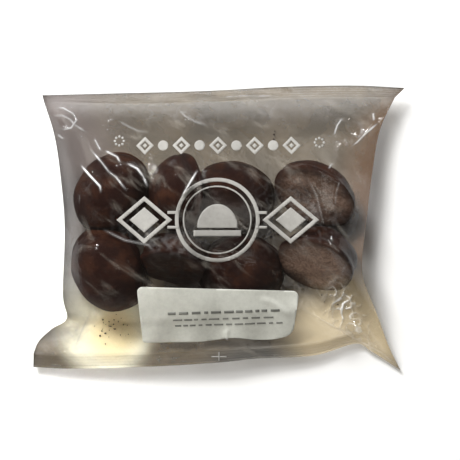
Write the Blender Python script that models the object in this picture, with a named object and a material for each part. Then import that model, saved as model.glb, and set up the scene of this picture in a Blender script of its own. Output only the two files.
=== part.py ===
"""A clear pillow bag of chocolate covered marshmallows, lying on its back, as one closed solid.

The bag is a tube of film, sealed flat across its top and its bottom end. Filled, it is drawn in
at the waist and keeps its full width only at the two seals, which leaves a pointed ear at each
corner. The marshmallows lie in two rows and press their round backs up into the film. Their
biscuits rest on the flat underside.

Metres, +Z up. +X runs along the seals and +Y towards the top seal. The origin is under the
middle of the bag's box, on the surface that the bag lies on.
"""

import math

import bmesh
import bpy
import numpy as np
from mathutils import noise

MM = 0.001

# The film, fused double at the seals, is drawn thick enough to be a sound solid.
SEAL_THICKNESS = 0.9 * MM

# Columns across the bag, and rows along its body and across each seal.
COLUMNS = 54
BODY_ROWS = 38
SEAL_ROWS = 2

# How far the lower film takes to come down to the flat underside, as a share of the bag's
# length from the seals and of its width from the sides.
FLOOR_FROM_SEAL = 0.17
FLOOR_FROM_SIDE = 0.10

# The upper film is stretched over the marshmallows on a grid twice as fine as the mesh. In each
# round it settles level with its neighbours, and the air inside lifts it by this much.
STRETCH_ROUNDS = 1500
AIR_LIFT = 0.004 * MM
FILM_CLEARANCE = 0.8 * MM

# Gathers that run from the seals into the body, and the soft dents all over it.
GATHER_COUNT = 9
GATHER_DEPTH = 1.1 * MM
DENT_DEPTH = 1.3 * MM
DENT_SIZE = 22 * MM
RANDOM_SEED = 5

# The ends of the two seal lines and the waist between them: x, y and height, in millimetres,
# from the bottom seal up.
LEFT_SIDE = (
    (-108.6, -73.0, 5.0),
    (-105.4, -66.0, 6.0),
    (-97.5, -58.6, 8.5),
    (-88.4, -52.2, 11.5),
    (-90.4, -38.0, 14.0),
    (-89.2, 0.0, 15.0),
    (-91.6, 30.0, 14.5),
    (-95.4, 54.0, 12.5),
    (-102.0, 74.5, 9.0),
)
RIGHT_SIDE = (
    (105.0, -79.0, 3.5),
    (99.6, -68.0, 6.0),
    (92.8, -50.0, 10.0),
    (83.8, -25.0, 14.5),
    (86.4, 6.0, 15.0),
    (89.2, 30.0, 14.5),
    (94.0, 57.0, 12.5),
    (103.0, 76.6, 9.5),
)
BOTTOM_SEAL_LINE = (
    (-108.6, -73.0, 5.0),
    (-84.0, -73.6, 7.0),
    (-38.0, -72.2, 10.0),
    (2.0, -70.0, 11.5),
    (38.0, -68.6, 11.0),
    (60.0, -66.0, 9.5),
    (80.0, -61.5, 8.0),
    (91.0, -68.0, 6.0),
    (105.0, -79.0, 3.5),
)
TOP_SEAL_LINE = (
    (-102.0, 74.5, 9.0),
    (-60.0, 73.0, 10.5),
    (-10.0, 73.6, 12.5),
    (40.0, 75.8, 13.5),
    (80.0, 76.6, 12.0),
    (103.0, 76.6, 9.5),
)

# The seals' outer edges. The bottom one tucks under towards the right, and both end in points.
BOTTOM_EDGE = (
    (-109.0, -81.4, 3.2),
    (-84.0, -82.2, 5.2),
    (-38.0, -80.6, 8.2),
    (0.0, -78.2, 9.6),
    (22.0, -76.0, 8.6),
    (56.0, -74.4, 5.6),
    (80.5, -67.6, 4.0),
    (90.0, -72.2, 3.2),
    (107.4, -83.4, 2.0),
)
TOP_EDGE = (
    (-103.0, 78.2, 8.4),
    (-60.0, 79.2, 9.6),
    (-8.0, 80.4, 11.6),
    (40.0, 82.8, 12.8),
    (80.0, 83.6, 11.0),
    (109.0, 82.4, 8.6),
)

# The round back that each marshmallow presses up into the film: x, y, the height of its top and
# its radius, in millimetres. They are 44 across when upright, and stand higher where they lean.
BACKS = (
    (-62.8, 22.4, 28.0, 22.5),
    (-64.0, -24.0, 33.0, 23.3),
    (-20.5, 21.3, 37.5, 19.8),
    (10.3, 19.0, 26.8, 22.6),
    (56.0, 17.5, 43.0, 20.6),
    (52.5, -23.5, 38.0, 19.0),
    (12.6, -25.2, 27.0, 22.4),
    (-24.5, -26.0, 23.0, 17.5),
)

# Folds in the upper film: both ends as x and y, then rise and half width, in millimetres.
FOLDS = (
    (48.0, -46.0, 104.0, -80.0, 4.5, 4.5),
    (70.0, -37.0, 98.0, -66.0, 3.0, 5.0),
    (96.0, 63.0, 76.0, 46.0, 3.0, 4.5),
    (72.0, 66.0, 70.0, 50.0, 2.2, 4.5),
    (-72.0, -45.0, -88.0, -72.0, 3.0, 4.5),
    (-77.0, 50.0, -55.0, 24.0, 2.2, 4.0),
    (-58.0, 41.0, -41.0, 24.0, 2.2, 4.0),
    (-93.0, 62.0, -80.0, 52.0, 2.5, 4.5),
)


def smooth_path(points, shares):
    """Points on a smooth curve through the given ones, at these shares of its length."""
    given = np.array(points, float) * MM
    padded = np.vstack([2 * given[0] - given[1], given, 2 * given[-1] - given[-2]])
    t = np.linspace(0, 1, 24, endpoint=False)[:, None]
    spans = []
    for before, start, end, after in zip(padded, padded[1:], padded[2:], padded[3:]):
        bend = 2 * before - 5 * start + 4 * end - after
        twist = 3 * start - before - 3 * end + after
        spans.append(start + 0.5 * (t * (end - before) + t**2 * bend + t**3 * twist))
    dense = np.vstack([*spans, given[-1:]])
    steps = np.linalg.norm(np.diff(dense, axis=0), axis=1)
    reach = np.concatenate([[0], np.cumsum(steps)]) / steps.sum()
    return np.stack([np.interp(shares, reach, axis) for axis in dense.T], axis=-1)


def seam_surface(across, along):
    """The sheet midway between the bag's two films: rows of points, stretched over its outline."""
    left = smooth_path(LEFT_SIDE, along)[:, None]
    right = smooth_path(RIGHT_SIDE, along)[:, None]
    low = smooth_path(BOTTOM_SEAL_LINE, across)[None]
    high = smooth_path(TOP_SEAL_LINE, across)[None]
    u, v = across[None, :, None], along[:, None, None]
    corners = (1 - v) * ((1 - u) * left[0] + u * right[0]) + v * (
        (1 - u) * left[-1] + u * right[-1]
    )
    return (1 - u) * left + u * right + (1 - v) * low + v * high - corners


def floor_share(across, along):
    """How far the lower film is down, from 0 at the outline to 1 on the flat underside."""
    from_side = np.clip(np.minimum(across, 1 - across) / FLOOR_FROM_SIDE, 0, 1)
    from_seal = np.clip(np.minimum(along, 1 - along) / FLOOR_FROM_SEAL, 0, 1)
    from_side = np.sin(from_side * math.pi / 2)
    from_seal = np.sin(from_seal * math.pi / 2)
    return from_seal[:, None] * from_side[None]


def backs_below(x, y):
    """The height of the marshmallows' round backs at each place, and 0 where there is none."""
    highest = np.zeros_like(x)
    for back_x, back_y, top, radius in np.array(BACKS) * MM:
        away = np.minimum(np.hypot(x - back_x, y - back_y) / radius, 1)
        rise = top - radius * (1 - np.sqrt(1 - away**2))
        highest = np.maximum(highest, np.where(away < 1, rise + FILM_CLEARANCE, 0))
    return highest


def stretched(seam_height, backs):
    """The upper film's height: held at the outline, over every back, and taut in between."""
    film = np.maximum(seam_height, backs)
    film[[0, -1]] = seam_height[[0, -1]]
    film[:, [0, -1]] = seam_height[:, [0, -1]]
    for _ in range(STRETCH_ROUNDS):
        level = film[:-2, 1:-1] + film[2:, 1:-1] + film[1:-1, :-2] + film[1:-1, 2:]
        film[1:-1, 1:-1] = np.maximum(level / 4 + AIR_LIFT, backs[1:-1, 1:-1])
    return film


def dents(points):
    """Soft uneven dents in the film, in metres, seeded by their place."""
    offset = RANDOM_SEED * DENT_SIZE
    flat = points.reshape(-1, 3)
    found = [noise.noise(((x + offset) / DENT_SIZE, y / DENT_SIZE, 0.0)) for x, y, _ in flat]
    return DENT_DEPTH * np.array(found).reshape(points.shape[:2])


def folds(x, y):
    """The height that the folds add: a rounded ridge each, fading out towards both ends."""
    rise = np.zeros_like(x)
    for start_x, start_y, end_x, end_y, height, width in np.array(FOLDS) * MM:
        run_x, run_y = end_x - start_x, end_y - start_y
        share = ((x - start_x) * run_x + (y - start_y) * run_y) / (run_x**2 + run_y**2)
        share = np.clip(share, 0, 1)
        away = np.hypot(x - start_x - share * run_x, y - start_y - share * run_y)
        fade = np.sin(math.pi * np.clip(share, 0.1, 0.9))
        rise += height * fade * np.exp(-((away / width) ** 2))
    return rise


def away_from_seals(along):
    """A column of shares, 0 on both seals and 1 a little way into the body."""
    return np.clip(np.minimum(along, 1 - along) / 0.04, 0, 1)[:, None]


def gathers(across, along):
    """Pleats that leave both seals and fade into the body."""
    wave = np.cos(2 * math.pi * GATHER_COUNT * across + 1.5 * np.sin(5 * across))
    near_seal = np.exp(-along / 0.09) + np.exp(-(1 - along) / 0.13)
    return GATHER_DEPTH * near_seal[:, None] * wave[None]


def seal_rows(line, edge):
    """Rows of points across a seal, from its line to its outer edge, without the line."""
    shares = np.linspace(0, 1, SEAL_ROWS + 1)[1:, None, None]
    return line + (edge - line) * shares


def bag_sheets():
    """The upper and lower film as rows of points, from the bottom edge to the top edge."""
    across = np.linspace(0, 1, 2 * COLUMNS + 1)
    along = np.linspace(0, 1, 2 * BODY_ROWS + 1)
    seam = seam_surface(across, along)
    x, y, seam_height = np.moveaxis(seam, -1, 0)
    film = stretched(seam_height, backs_below(x, y))[::2, ::2]
    across, along, seam = across[::2], along[::2], seam[::2, ::2]
    inward = 1 - np.abs(2 * across - 1) ** 6
    relief = dents(seam) + folds(seam[..., 0], seam[..., 1]) + gathers(across, along)
    upper, lower = seam.copy(), seam.copy()
    upper[..., 2] = film + SEAL_THICKNESS / 2 + relief * inward * away_from_seals(along)
    lower[..., 2] -= SEAL_THICKNESS / 2
    lower[..., 2] *= 1 - floor_share(across, along)
    bottom = seal_rows(seam[0], smooth_path(BOTTOM_EDGE, across))[::-1]
    top = seal_rows(seam[-1], smooth_path(TOP_EDGE, across))
    raised = np.array([0, 0, SEAL_THICKNESS / 2])
    return (
        np.concatenate([bottom + raised, upper, top + raised]),
        np.concatenate([bottom - raised, lower, top - raised]),
    )


def add_sheet(mesh, points, faces_up):
    """A grid of faces through rows of points. Returns its vertices."""
    rows, columns = points.shape[:2]
    made = bmesh.ops.create_grid(mesh, x_segments=columns - 1, y_segments=rows - 1, size=1)
    verts = sorted(made["verts"], key=lambda v: (round(v.co.y, 6), round(v.co.x, 6)))
    for vert, place in zip(verts, points.reshape(-1, 3)):
        vert.co = place
    if not faces_up:
        faces = {face for vert in verts for face in vert.link_faces}
        bmesh.ops.reverse_faces(mesh, faces=list(faces))
    return verts


def bag_mesh():
    """The bag's closed mesh: both films, joined round the outline by a narrow wall."""
    upper, lower = bag_sheets()
    corner = np.minimum(upper.min((0, 1)), lower.min((0, 1)))
    far_corner = np.maximum(upper.max((0, 1)), lower.max((0, 1)))
    middle = (corner + far_corner) / 2
    shift = np.array([middle[0], middle[1], corner[2]])
    mesh = bmesh.new()
    add_sheet(mesh, upper - shift, faces_up=True)
    add_sheet(mesh, lower - shift, faces_up=False)
    rim = [edge for edge in mesh.edges if edge.is_boundary]
    bmesh.ops.bridge_loops(mesh, edges=rim)
    bmesh.ops.triangulate(mesh, faces=mesh.faces)
    bmesh.ops.recalc_face_normals(mesh, faces=mesh.faces)
    return mesh


def film_material():
    """Smoky clear film over dark chocolate, as one plain colour for the solid."""
    material = bpy.data.materials.new("bag_film")
    material.use_nodes = True
    surface = material.node_tree.nodes["Principled BSDF"]
    surface.inputs["Base Color"].default_value = (0.12, 0.085, 0.065, 1)
    surface.inputs["Roughness"].default_value = 0.22
    surface.inputs["Metallic"].default_value = 0.0
    return material


def main():
    for leftover in list(bpy.data.objects):
        bpy.data.objects.remove(leftover)
    data = bpy.data.meshes.new("bag")
    mesh = bag_mesh()
    mesh.to_mesh(data)
    mesh.free()
    bag = bpy.data.objects.new("bag", data)
    bag.data.materials.append(film_material())
    bag.data.shade_smooth()
    bag.data.set_sharp_from_angle(angle=math.radians(50))
    bpy.context.scene.collection.objects.link(bag)


main()
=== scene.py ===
"""A clear sealed bag of eight chocolate covered marshmallows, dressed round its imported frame.

The frame holds the bag as one solid. This script puts the real thing in its place: thin film,
stretched over the marshmallows that lie inside it, its white print, crumbs, and a plain studio.
Metres, +Z up. +X runs along the seals and +Y towards the top seal.
"""

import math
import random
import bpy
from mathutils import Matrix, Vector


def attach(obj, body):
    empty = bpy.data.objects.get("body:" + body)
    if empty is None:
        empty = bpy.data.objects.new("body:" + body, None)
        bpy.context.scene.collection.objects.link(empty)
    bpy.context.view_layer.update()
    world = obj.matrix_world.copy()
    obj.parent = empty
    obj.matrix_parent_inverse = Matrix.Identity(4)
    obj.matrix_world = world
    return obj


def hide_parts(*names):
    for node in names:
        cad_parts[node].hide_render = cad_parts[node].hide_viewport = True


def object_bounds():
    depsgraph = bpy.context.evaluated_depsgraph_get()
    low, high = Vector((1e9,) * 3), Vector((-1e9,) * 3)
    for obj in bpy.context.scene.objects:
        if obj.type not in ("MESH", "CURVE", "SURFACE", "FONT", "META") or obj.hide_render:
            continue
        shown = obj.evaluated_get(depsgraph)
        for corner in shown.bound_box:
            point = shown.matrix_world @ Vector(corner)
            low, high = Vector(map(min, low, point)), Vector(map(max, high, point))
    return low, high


bl_info = {
    "name": "Clear Bag of Chocolate Marshmallows",
    "version": (1, 0, 0),
    "blender": (4, 5, 0),
    "location": "3D View > Sidebar > Marshmallow Bag",
    "description": "Adds the film, print, marshmallows, crumbs and studio round the bag's frame",
    "category": "Add Mesh",
}

import bmesh
import bpy
import numpy as np
from bpy.props import FloatProperty, FloatVectorProperty, IntProperty, PointerProperty
from bpy.types import Operator, Panel, PropertyGroup
from mathutils import Matrix, Vector, noise
from mathutils.bvhtree import BVHTree

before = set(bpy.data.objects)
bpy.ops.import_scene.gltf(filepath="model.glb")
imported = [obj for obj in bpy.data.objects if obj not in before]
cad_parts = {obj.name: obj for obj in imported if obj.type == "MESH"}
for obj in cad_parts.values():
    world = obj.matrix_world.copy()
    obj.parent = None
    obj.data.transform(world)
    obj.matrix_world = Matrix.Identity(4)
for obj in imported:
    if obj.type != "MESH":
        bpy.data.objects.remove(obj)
cad_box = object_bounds()

MM = 0.001
UP = Vector((0, 0, 1))

# The bag's outline, as the frame's solid has it. From the bottom seal up, the ends of the two
# seal lines and the waist between them: x, y and height, in millimetres.
LEFT_SIDE = (
    (-108.6, -73.0, 5.0),
    (-105.4, -66.0, 6.0),
    (-97.5, -58.6, 8.5),
    (-88.4, -52.2, 11.5),
    (-90.4, -38.0, 14.0),
    (-89.2, 0.0, 15.0),
    (-91.6, 30.0, 14.5),
    (-95.4, 54.0, 12.5),
    (-102.0, 74.5, 9.0),
)
RIGHT_SIDE = (
    (105.0, -79.0, 3.5),
    (99.6, -68.0, 6.0),
    (92.8, -50.0, 10.0),
    (83.8, -25.0, 14.5),
    (86.4, 6.0, 15.0),
    (89.2, 30.0, 14.5),
    (94.0, 57.0, 12.5),
    (103.0, 76.6, 9.5),
)
BOTTOM_SEAL_LINE = (
    (-108.6, -73.0, 5.0),
    (-84.0, -73.6, 7.0),
    (-38.0, -72.2, 10.0),
    (2.0, -70.0, 11.5),
    (38.0, -68.6, 11.0),
    (60.0, -66.0, 9.5),
    (80.0, -61.5, 8.0),
    (91.0, -68.0, 6.0),
    (105.0, -79.0, 3.5),
)
TOP_SEAL_LINE = (
    (-102.0, 74.5, 9.0),
    (-60.0, 73.0, 10.5),
    (-10.0, 73.6, 12.5),
    (40.0, 75.8, 13.5),
    (80.0, 76.6, 12.0),
    (103.0, 76.6, 9.5),
)
BOTTOM_EDGE = (
    (-109.0, -81.4, 3.2),
    (-84.0, -82.2, 5.2),
    (-38.0, -80.6, 8.2),
    (0.0, -78.2, 9.6),
    (22.0, -76.0, 8.6),
    (56.0, -74.4, 5.6),
    (80.5, -67.6, 4.0),
    (90.0, -72.2, 3.2),
    (107.4, -83.4, 2.0),
)
TOP_EDGE = (
    (-103.0, 78.2, 8.4),
    (-60.0, 79.2, 9.6),
    (-8.0, 80.4, 11.6),
    (40.0, 82.8, 12.8),
    (80.0, 83.6, 11.0),
    (109.0, 82.4, 8.6),
)

# The two films are drawn this far apart at the seals. The lower one comes down to the floor
# over these shares of the bag's length and width.
SEAL_THICKNESS = 0.9 * MM
FLOOR_FROM_SEAL = 0.17
FLOOR_FROM_SIDE = 0.10

# The upper film settles over the marshmallows on a coarse grid, and then on the mesh's own.
COARSE_COLUMNS = 108
COARSE_ROWS = 76
COARSE_ROUNDS = 1500
FINE_ROUNDS = 50
UNDERSIDE_ROUNDS = 25
AIR_LIFT = 0.004 * MM

# The lower film's mesh has this share of the upper one's rows and columns.
UNDERSIDE_SHARE = 0.5

# The film is denser at its folded sides, and fades to its usual density over this distance.
SIDE_REACH = 5 * MM

# The film stays smooth next to a seal, over this share of the bag's length.
SMOOTH_AT_SEAL = 0.04

# Gathers that fade from the bottom and the top seal into the body over these shares of its
# length, and soft dents.
GATHER_COUNT = 9
GATHER_DEPTH = 1.1 * MM
GATHER_REACH = (0.09, 0.13)
DENT_SIZE = 22 * MM
RANDOM_SEED = 5

# Rounded folds: both ends as x and y, then rise and half width, in millimetres.
FOLDS = (
    (48.0, -46.0, 104.0, -80.0, 4.5, 4.5),
    (70.0, -37.0, 98.0, -66.0, 3.0, 5.0),
    (96.0, 63.0, 76.0, 46.0, 3.0, 4.5),
    (72.0, 66.0, 70.0, 50.0, 2.2, 4.5),
    (-72.0, -45.0, -88.0, -72.0, 3.0, 4.5),
    (-77.0, 50.0, -55.0, 24.0, 2.2, 4.0),
    (-58.0, 41.0, -41.0, 24.0, 2.2, 4.0),
    (-93.0, 62.0, -80.0, 52.0, 2.5, 4.5),
)

# Sharp creases: rise and half width in millimetres, the strength of the painted glint, a white line
# painted along the crest, then x and y of each point that it runs through. Both ends fade out over
# a share of its length.
CREASE_FADE = 0.2
CREASES = (
    (1.2, 2.7, 0.8, -74.1, 46.4, -66.5, 37.8, -62.5, 32.7, -58.0, 29.3, -51.7, 21.4),
    (1.1, 2.5, 0.9, -65.4, 45.2, -58.0, 41.3, -55.7, 37.3),
    (1.4, 3.2, 1.0, -52.9, 37.8, -46.1, 34.4, -42.6, 29.9, -39.8, 23.6),
    (1.1, 2.6, 0.9, -79.9, 37.4, -74.2, 31.1, -67.4, 24.3, -66.8, 20.3),
    (1.6, 3.6, 1.0, -11.3, 33.7, -20.9, 16.7),
    (0.8, 1.7, 0.6, -95.8, 70.9, -90.5, 70.5, -84.5, 67.0, -82.4, 63.5, -85.5, 58.5,
     -92.3, 57.5),
    (0.8, 1.7, 0.5, -96.7, 66.1, -90.9, 66.1, -86.2, 63.7, -83.3, 60.3, -75.8, 55.6),
    (0.8, 1.7, 0.4, -93.8, 55.0, -89.7, 52.1),
    (0.9, 2.2, 0.35, -23.3, 69.8, -19.2, 65.2, -13.4, 61.7, -5.9, 59.4),
    (0.7, 2.0, 0.3, -58.6, 62.9, -51.1, 58.8, -46.4, 56.5, -39.5, 55.3),
    (1.6, 3.4, 0.9, 72.1, 64.4, 68.6, 59.8, 66.3, 52.9),
    (1.1, 2.4, 0.9, 90.0, 67.8, 90.6, 62.6),
    (1.1, 2.3, 0.8, 93.3, 61.9, 85.7, 55.5, 79.9, 49.7, 75.9, 46.8),
    (1.0, 2.2, 0.8, 65.0, 37.4, 62.7, 34.0),
    (1.8, 3.2, 0.4, 47.0, -45.0, 65.0, -55.5, 81.9, -65.4, 97.0, -73.5, 105.7, -81.1),
    (1.0, 2.3, 0.5, -74.0, -48.5, -80.4, -61.9, -84.5, -71.8),
    (0.9, 2.0, 0.9, 4.5, -58.1, 5.1, -65.1),
    (0.9, 2.6, 0.25, 69.3, 28.7, 67.0, 19.6, 66.5, 11.1),
    (0.9, 2.4, 0.4, -65.9, -0.2, -52.8, -6.5, -39.2, -9.3, -35.2, -13.9),
    (0.9, 2.2, 0.6, -71.8, 52.6, -69.0, 47.4, -67.2, 44.5),
    (1.0, 2.2, 0.5, 69.5, -35.8, 75.8, -39.8, 79.4, -55.9, 83.4, -63.3),
    (1.0, 2.2, 0.2, 69.5, -35.8, 64.9, -44.4, 63.2, -54.1),
    (0.9, 1.9, 0.2, 75.8, -39.8, 70.6, -48.4, 73.5, -58.6),
    (0.9, 1.9, 0.2, 79.0, -47.3, 69.5, -44.4),
    (0.9, 1.9, 0.2, 63.2, -54.1, 73.5, -51.8, 80.3, -54.1),
    (0.8, 2.6, 0.3, 24.0, -39.5, 32.0, -43.0, 43.0, -51.0),
    (0.7, 2.0, 0.3, -2.0, 76.2, 14.0, 77.4, 36.0, 77.2),
    (0.8, 2.2, 0.25, 50.0, 30.0, 56.0, 18.0, 60.0, 2.0),
    (0.8, 2.2, 0.3, 74.0, -16.0, 70.0, -27.0, 60.0, -34.0),
)

# Crumpled patches: centre, reach along and across, the way that they lie in degrees, depth, and the
# strength of the painted glint, white painted along their ridges.
CRUMPLES = (
    (74.5, -48.5, 17.0, 7.5, -58.0, 2.3, 1.0),
    (88.0, -68.0, 14.0, 4.0, -38.0, 1.0, 0.3),
    (-89.0, 62.0, 7.0, 7.0, 0.0, 0.25, 0.12),
    (-84.0, -62.0, 16.0, 8.0, 60.0, 0.5, 0.3),
    (80.0, 54.0, 12.0, 8.0, 40.0, 0.3, 0.3),
    (-30.0, -8.0, 30.0, 6.0, -25.0, 0.25, 0.15),
    (-4.0, 68.0, 90.0, 6.0, 0.0, 0.3, 0.15),
    (50.0, 8.0, 26.0, 20.0, 0.0, 0.25, 0.15),
)
CRUMPLE_SIZE = 5.5 * MM

# The numbers that each point of the film carries for its material. "crest" carries the painted
# glint: white painted along the creases' and crumples' crests.
FILM_MARKS = ("seal", "side", "crest", "under")
CRIMP_COUNT = 5

# How dense the upper and the lower film are in the cream corner, where a pool of cream light is
# painted on the lower film.
CORNER_OPACITIES = (0.08, 0.85)

# Spots where the lower film's cast changes: x and y in millimetres, the distances at which the
# change starts and is full, its strength and its colour's setting. The third is painted light, a
# pale pool at the lower right, where the upper film changes too. The fourth to the sixth are
# painted light as well: the pool of cream light in the corner, a yellow spot in it, and a cream
# patch above it.
CAST_HEIGHT = 5 * MM
CAST_SPOTS = (
    (-150, 40, 110, 60, 1.0, "cool_colour"),
    (170, 10, 112, 84, 0.9, "umber_colour"),
    (74, -62, 48, 20, 0.9, "painted_pale_light"),
    (-66, -60, 34, 20, 1.0, "painted_cream_light"),
    (-62, -61, 22, 8, 0.6, "painted_yellow_light"),
    (-88, -40, 24, 8, 0.8, "painted_cream_light"),
    (22, -98, 44, 24, 0.85, "grey_colour"),
)

# A marshmallow's half section from the middle of its base to its top: radius and height, in
# millimetres. A biscuit carries the dome, and the coat has run down into a foot round it.
MALLOW_SECTION = (
    (0.0, 0.3),
    (12.0, 0.2),
    (19.4, 0.0),
    (21.3, 0.4),
    (22.0, 1.6),
    (21.8, 3.2),
    (20.9, 4.6),
    (20.5, 6.4),
    (20.6, 8.6),
    (20.0, 11.6),
    (18.6, 14.6),
    (16.2, 17.4),
    (12.9, 19.9),
    (8.9, 21.8),
    (4.6, 22.9),
    (0.0, 23.3),
)

# The base ends between these shares of the section's length.
BASE_END = (0.22, 0.40)

# Each marshmallow: the middle of its base in millimetres, its tilt from upright, the way its top
# leans and its turn about its own axis in degrees, its scale, how much longer it is one way than
# across it, that way in degrees, and how worn its base is.
MALLOWS = {
    "mallow_1": (-61.6, 20.6, 9, 150, 0, 1.06, 1.09, 50, 0.3),
    "mallow_2": (-63.2, -22.8, 18, 240, 40, 1.08, 1.09, 120, 0.3),
    "mallow_3": (-18.5, 20.0, 57, 180, 90, 0.98, 1.08, 85, 0.3),
    "mallow_4": (7.8, 18.6, 6, 60, 130, 1.07, 1.09, 0, 0.3),
    "mallow_5": (55.6, 17.6, 142, 66, 70, 0.98, 1.18, -30, 0.9),
    "mallow_6": (55.2, -21.6, 128, 60, 0, 1.02, 1.05, 10, 1.0),
    "mallow_7": (13.0, -24.4, 7, 300, 200, 1.08, 1.09, 0, 0.3),
    "mallow_8": (-26.0, -23.5, 118, 81, 15, 0.93, 1.0, 0, 0.0),
}
RESTING_HEIGHT = 0.8 * MM
LUMP_SIZE = 13 * MM
PITTING_SIZE = 3.5 * MM
NOISE_STEP = (3.1, 1.7, 2.3)
UNDERSIDE_PITTING = 1.6
FACES_DOWN = -0.5

# The pairs that press flat against each other, and the gap that is left between them.
CONTACTS = ((1, 2), (2, 8), (1, 3), (3, 8), (3, 4), (4, 7), (4, 5), (5, 6), (6, 7), (7, 8))
CONTACT_GAP = 0.3 * MM

# The white print, in millimetres: a row of ornaments, three linked medallions and a label. A shape
# is given as its half width and half height, then its line's width and its number of sides.
ROW_Y = 47.6
ROW_HALF_LENGTH = 42.0
ROW_COUNT = 9
LOZENGE = (5.2, 5.3, 1.7)
LOZENGE_MIDDLE = 1.4
DISC_RADIUS = 3.0
ROSETTES = ((-57.0, 50.5), (58.0, 49.3))
ROSETTE_RADIUS = 2.6
DOT_RADIUS = 0.75
DOT_COUNT = 8
MEDALLION_X = -0.3
MEDALLION_Y = 4.9
RING = (24, 24, 2.2, 64)
INNER_RING = (19.5, 19.5, 0.9, 64)
DOME_DROP = 4.5
DOME = (11.5, 13.5)
BAR_DROP = 7.6
BAR = (13.5, 1.7)
SIDE_DISTANCE = 41.5
SIDE_LOZENGE = (16, 13.5, 2.2, 4)
SIDE_MIDDLE = (8.5, 7.2, 4)
LINK_DISTANCE = 25.0
LINK_RISE = 4.2
LINK = (3.2, 0.8)
LABEL_CORNERS = (
    (-46.4, -33.2, 3.4),
    (-43.8, -66.4, 1.6),
    (-8.0, -65.8, 8.0),
    (9.2, -62.9, 6.0),
    (21.0, -64.8, 5.0),
    (32.0, -64.8, 5.0),
    (43.4, -61.5, 4.6),
    (46.6, -35.8, 4.0),
)
DASH_LENGTHS = (2.2, 6.0)
DASH_GAPS = (1.0, 2.2)
DASH_SLOPE = 0.03
DASH_TURN = 2.0
LABEL_DASHES = ((-29.0, 35.0, -48.0, 1.5), (-26.0, 30.0, -52.0, 0.9), (-25.0, 34.0, -55.4, 0.9))
CROSS = (0.4, -74.8, 4.4, 2.8)
CROSS_LINE = 0.35
INK_STEP = 1.1 * MM
INK_OPACITY = 0.94
LABEL_OPACITY = 0.9
DASH_OPACITY = 0.8

# Crumbs: centre of each scatter, its reach in millimetres, and how many. Then how large they are
# as shares of the largest, how they are stretched, and how far their corners are pushed.
CRUMB_SIZES = (0.3, 1.0)
CRUMB_LENGTHS = (0.8, 1.6)
CRUMB_WIDTHS = (0.6, 1.1)
CRUMB_THICKNESS = 0.8
CRUMB_JOLT = 0.2
CRUMB_SCATTERS = (
    (-65.0, -58.5, 8.0, 16),
    (-58.0, -62.0, 14.0, 12),
    (34.0, 55.0, 3.0, 3),
    (54.6, 72.0, 2.0, 1),
    (-42.0, 0.0, 9.0, 8),
    (36.0, -2.0, 8.0, 8),
    (66.0, -45.0, 8.0, 4),
    (-20.0, -50.0, 16.0, 6),
)

# The photograph's frame: the bag's outline lies about this high, and one pixel there is this big.
OUTLINE_HEIGHT = 12 * MM
PIXEL = 0.583 * MM
PICTURE_SIZE = 460
PICTURE_CENTRE = (6.8 * MM, -0.8 * MM)
SENSOR_WIDTH = 36.0

# Each light: place and size in metres, its brightness setting, its colour, and whether it only
# lights matt surfaces or only shows in gloss. The last one also has the place that it faces,
# and its beam's width in degrees.
WHITE = (1, 1, 1)
WARM = (1, 0.95, 0.87)
CREAM_CORNER = (-0.074, -0.048, 0)
LIGHTS = {
    "key": ((-0.55, 0.97, 1.25), 0.64, "key_radiance", WHITE, "matt"),
    "low_key": ((-0.6, 1.1, 0.85), 0.5, "low_key_radiance", WHITE, "matt"),
    "glint_right": ((0.62, 0.72, 0.55), 0.05, "glint_radiance", WHITE, "gloss"),
    "glint_left": ((-0.66, 0.66, 0.55), 0.05, "glint_radiance", WHITE, "gloss"),
    "haze": ((0.34, 0.05, 1.0), 0.6, "haze_radiance", WARM, "gloss"),
    "fill": ((-0.5, -0.85, 0.9), 0.5, "fill_radiance", WARM, "matt"),
    "corner": ((-0.45, -0.5, 0.6), 0.06, "corner_radiance", WARM, "matt", CREAM_CORNER, 7),
}
FLOOR_REACH = 3
FLOOR_DEPTH = 0.2 * MM


# Shared helpers


def linear(code):
    """The linear colour of an sRGB hex code."""
    parts = [int(code[start : start + 2], 16) / 255 for start in (1, 3, 5)]
    return tuple(c / 12.92 if c <= 0.04045 else ((c + 0.055) / 1.055) ** 2.4 for c in parts)


def add_node(tree, kind, inputs=None, **properties):
    """Adds a shader node with its properties. Each input gets a value, or the socket that feeds
    it."""
    made = tree.nodes.new(kind)
    for name, value in properties.items():
        setattr(made, name, value)
    for name, given in (inputs or {}).items():
        if isinstance(given, bpy.types.NodeSocket):
            tree.links.new(given, made.inputs[name])
        else:
            made.inputs[name].default_value = given
    return made


def add_place(tree):
    """Each point's place on the object."""
    return add_node(tree, "ShaderNodeTexCoord").outputs["Object"]


def add_mark(tree, name):
    """A number that the mesh's points carry."""
    return add_node(tree, "ShaderNodeAttribute", attribute_name=name).outputs["Fac"]


def add_noise(tree, place, size, detail, roughness=0.5, distortion=0.0):
    """Noise from 0 to 1, whose features are about this size in millimetres."""
    inputs = {
        "Vector": place,
        "Scale": 1 / (size * MM),
        "Detail": detail,
        "Roughness": roughness,
        "Distortion": distortion,
    }
    return add_node(tree, "ShaderNodeTexNoise", inputs).outputs["Fac"]


def add_range(tree, value, start, end, low=0.0, high=1.0, kind="SMOOTHSTEP"):
    """Carries a value from one range over to another, and holds it at both ends."""
    inputs = {"Value": value, "From Min": start, "From Max": end, "To Min": low, "To Max": high}
    made = add_node(tree, "ShaderNodeMapRange", inputs, interpolation_type=kind)
    return made.outputs["Result"]


def add_math(tree, operation, *inputs):
    """Works on numbers and on what sockets carry."""
    made = add_node(tree, "ShaderNodeMath", dict(enumerate(inputs)), operation=operation)
    return made.outputs[0]


def add_mix(tree, share, first, second):
    """A colour between two others, each one a socket or a plain colour."""
    inputs = {0: share}
    for slot, given in ((6, first), (7, second)):
        inputs[slot] = given if isinstance(given, bpy.types.NodeSocket) else (*given, 1)
    return add_node(tree, "ShaderNodeMix", inputs, data_type="RGBA").outputs[2]


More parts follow.
